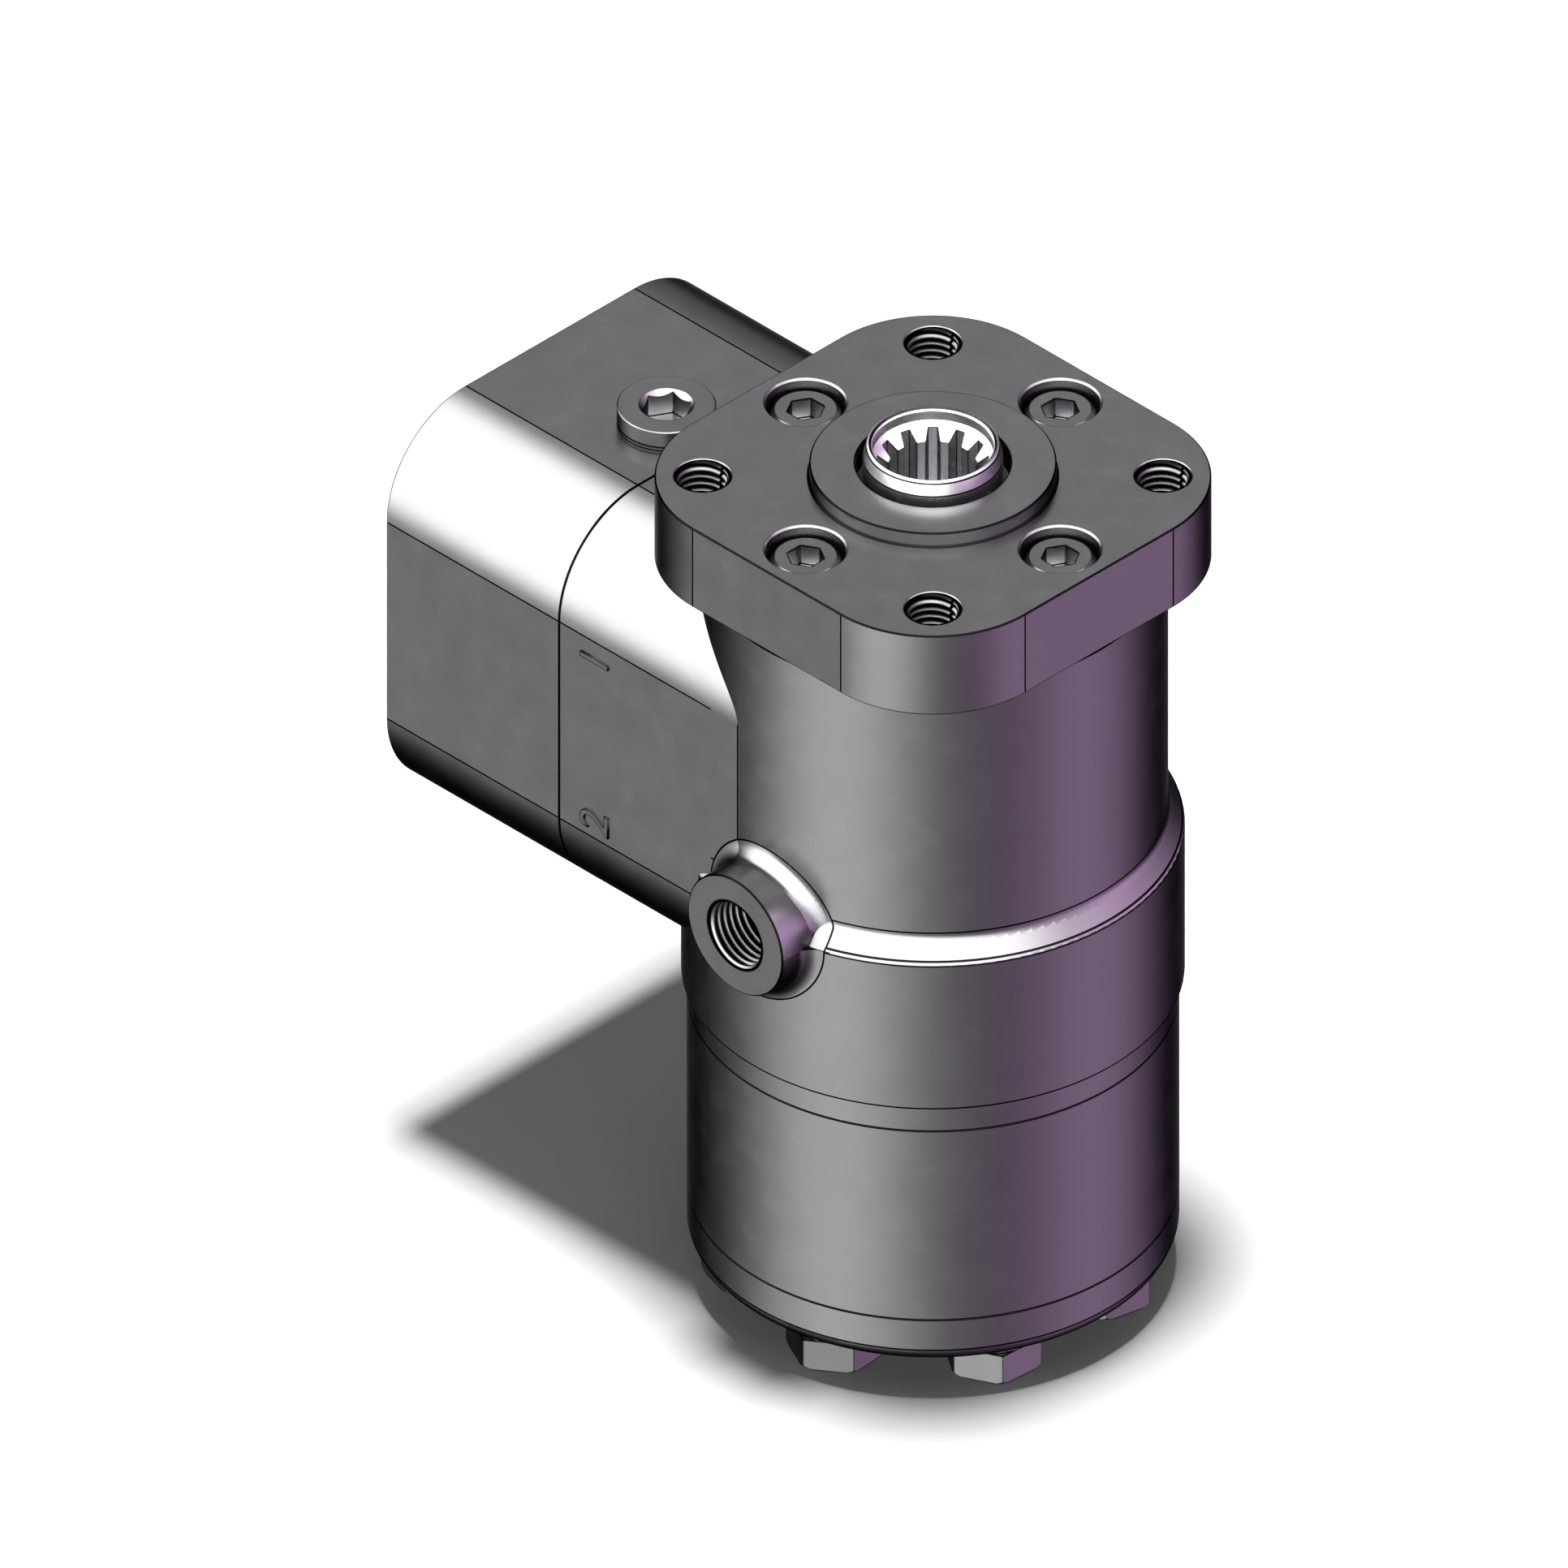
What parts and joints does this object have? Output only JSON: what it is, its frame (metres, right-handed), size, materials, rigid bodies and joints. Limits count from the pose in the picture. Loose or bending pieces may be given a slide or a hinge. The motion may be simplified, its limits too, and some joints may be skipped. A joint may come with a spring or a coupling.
{
  "type": "hydraulic steering unit",
  "caption": "Orbital hydraulic steering unit: square mounting flange with splined spool, ported valve block at the back, orbiting gear set below.",
  "frame": {"origin": "on the shaft axis, in the mounting flange's top face", "axes": "+Z out of the flange along the shaft, +Y towards the four ports, the side boss points to -X"},
  "size_m": [0.0954, 0.1425, 0.1789],
  "materials": {
    "casting": "fine machined and cast iron, oiled",
    "flange_iron": "machined iron, oiled",
    "gear_steel": "ground and turned steel",
    "bolt_steel": "phosphated steel",
    "plug_steel": "turned steel",
    "spool_steel": "ground hardened steel",
    "inner_steel": "ground hardened steel",
    "spring_steel": "blued spring steel",
    "seal_rubber": "smooth nitrile rubber"
  },
  "bodies": {
    "casing": {"mounting_flange": "flange_iron", "flange_screws": "bolt_steel", "flange_seal": "seal_rubber", "dust_seal": "seal_rubber", "shaft_seal": "seal_rubber", "thrust_race_upper": "inner_steel", "housing": "casting", "plate_seal": "seal_rubber", "distributor_plate": "gear_steel", "ring_seal": "seal_rubber", "gear_ring": "gear_steel", "cover_seal": "seal_rubber", "end_cover": "gear_steel", "end_bolts": "bolt_steel", "bolt_washers": "plug_steel", "valve_block": "casting", "block_screws": "bolt_steel", "port_seals": "seal_rubber", "check_valve_seat": "inner_steel", "check_valve_pin": "inner_steel", "relief_plug": "plug_steel", "relief_washer": "plug_steel", "relief_adjuster": "inner_steel", "relief_spring": "spring_steel", "relief_seat": "inner_steel", "shock_plugs": "plug_steel", "shock_seat_left": "inner_steel", "shock_seat_right": "inner_steel", "shock_spring_left": "spring_steel", "shock_spring_right": "spring_steel"},
    "bearing": {"needle_cage": "inner_steel", "needles": "inner_steel"},
    "sleeve": {"control_sleeve": "inner_steel", "cross_pin": "inner_steel", "spring_band": "spring_steel", "thrust_race_lower": "inner_steel", "flat_springs": "spring_steel", "curved_springs": "spring_steel"},
    "spool": {"control_spool": "spool_steel"},
    "orbit": {"drive_spacer": "inner_steel"},
    "rolling_rotor": {"rotor": "inner_steel"},
    "cardan": {"cardan_shaft": "inner_steel"},
    "check": {"check_ball": "inner_steel"},
    "relief": {"relief_poppet": "inner_steel"},
    "shock_left": {"shock_poppet_left": "inner_steel"},
    "shock_right": {"shock_poppet_right": "inner_steel"}
  },
  "joints": [
    {"name": "sleeve_turn", "type": "hinge", "parent": "casing", "child": "sleeve", "pos_m": [0, 0, -0.06], "axis": [0, 0, 1], "continuous": true},
    {"name": "spool_lead", "type": "hinge", "parent": "sleeve", "child": "spool", "pos_m": [0, 0, -0.06], "axis": [0, 0, 1], "range_deg": [-10, 10], "stiffness_Nm_per_rad": 5, "deforming": ["flat_springs", "curved_springs"]},
    {"name": "bearing_turn", "type": "hinge", "parent": "casing", "child": "bearing", "pos_m": [0, 0, -0.01935], "axis": [0, 0, 1], "continuous": true},
    {"name": "rotor_orbit", "type": "hinge", "parent": "casing", "child": "orbit", "pos_m": [0, 0, -0.13355], "axis": [0, 0, 1], "continuous": true},
    {"name": "rotor_spin", "type": "hinge", "parent": "orbit", "child": "rolling_rotor", "pos_m": [0, -0.003, -0.13355], "axis": [0, 0, 1], "continuous": true},
    {"name": "cardan_spin", "type": "hinge", "parent": "orbit", "child": "cardan", "pos_m": [0, 0, -0.042], "axis": [0, 0.0328, 0.9995], "continuous": true},
    {"name": "check_lift", "type": "slide", "parent": "casing", "child": "check", "axis": [0, -1, 0], "range_m": [0, 0.0025]},
    {"name": "relief_lift", "type": "slide", "parent": "casing", "child": "relief", "axis": [0, 0, 1], "range_m": [0, 0.0015], "stiffness_N_per_m": 2000, "springref_m": -0.003, "deforming": ["relief_spring"]},
    {"name": "shock_lift_left", "type": "slide", "parent": "casing", "child": "shock_left", "axis": [0, 0, -1], "range_m": [0, 0.001], "stiffness_N_per_m": 2000, "springref_m": -0.003, "deforming": ["shock_spring_left"]},
    {"name": "shock_lift_right", "type": "slide", "parent": "casing", "child": "shock_right", "axis": [0, 0, -1], "range_m": [0, 0.001], "stiffness_N_per_m": 2000, "springref_m": -0.003, "deforming": ["shock_spring_right"]}
  ],
  "couplings": [
    {"joint": "bearing_turn", "follows": "sleeve_turn", "ratio": 0.5},
    {"joint": "rotor_orbit", "follows": "sleeve_turn", "ratio": -6},
    {"joint": "rotor_spin", "follows": "sleeve_turn", "ratio": 7},
    {"joint": "cardan_spin", "follows": "sleeve_turn", "ratio": 7}
  ]
}
